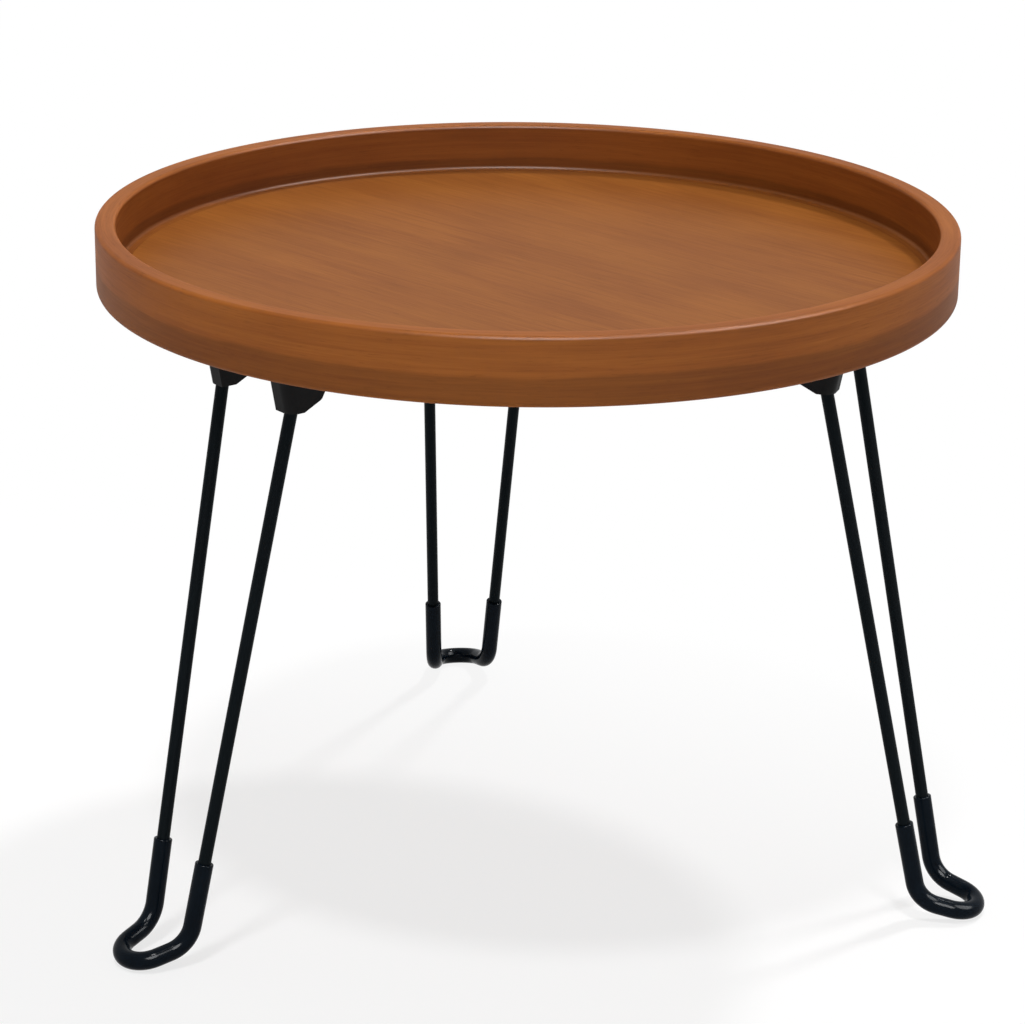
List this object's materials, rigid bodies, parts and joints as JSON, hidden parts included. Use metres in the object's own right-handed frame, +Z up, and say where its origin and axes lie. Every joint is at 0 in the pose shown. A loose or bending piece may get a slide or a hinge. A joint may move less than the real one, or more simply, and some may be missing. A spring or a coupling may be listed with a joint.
{
  "type": "folding round table",
  "caption": "Low round wooden tray table with a raised rim, on splayed hairpin wire legs with vinyl toe sleeves that fold in under the tray.",
  "frame": {"origin": "on the ground under the middle of the tray", "axes": "+Z up, +Y towards the back leg"},
  "size_m": [0.5134, 0.5432, 0.395],
  "materials": {
    "rim_wood": "stained bent wood under satin lacquer",
    "panel_wood": "stained wood veneer under satin lacquer",
    "coated_wire": "satin black powder coat on steel wire",
    "sleeve_vinyl": "glossy black soft vinyl",
    "bracket_plastic": "fine moulded texture, black",
    "pin_steel": "plain steel rivet",
    "screw_steel": "black oxide"
  },
  "bodies": {
    "tray": {"tray_rim": "rim_wood", "tray_panel": "panel_wood", "back_hinge_bracket_left": "bracket_plastic", "back_hinge_bracket_right": "bracket_plastic", "back_hinge_pin_left": "pin_steel", "back_hinge_pin_right": "pin_steel", "back_bracket_screws": "screw_steel", "left_hinge_bracket_left": "bracket_plastic", "left_hinge_bracket_right": "bracket_plastic", "left_hinge_pin_left": "pin_steel", "left_hinge_pin_right": "pin_steel", "left_bracket_screws": "screw_steel", "right_hinge_bracket_left": "bracket_plastic", "right_hinge_bracket_right": "bracket_plastic", "right_hinge_pin_left": "pin_steel", "right_hinge_pin_right": "pin_steel", "right_bracket_screws": "screw_steel"},
    "back_leg": {"back_leg_wire": "coated_wire", "back_foot_sleeve": "sleeve_vinyl"},
    "left_leg": {"left_leg_wire": "coated_wire", "left_foot_sleeve": "sleeve_vinyl"},
    "right_leg": {"right_leg_wire": "coated_wire", "right_foot_sleeve": "sleeve_vinyl"}
  },
  "joints": [
    {"name": "back_leg_fold", "type": "hinge", "parent": "tray", "child": "back_leg", "pos_m": [0, 0.1876, 0.345], "axis": [-1, 0, 0], "range_deg": [0, 102.8]},
    {"name": "left_leg_fold", "type": "hinge", "parent": "tray", "child": "left_leg", "pos_m": [-0.16247, -0.0938, 0.345], "axis": [0.5, -0.866, 0], "range_deg": [0, 99.8]},
    {"name": "right_leg_fold", "type": "hinge", "parent": "tray", "child": "right_leg", "pos_m": [0.16247, -0.0938, 0.345], "axis": [0.5, 0.866, 0], "range_deg": [0, 95.2]}
  ]
}
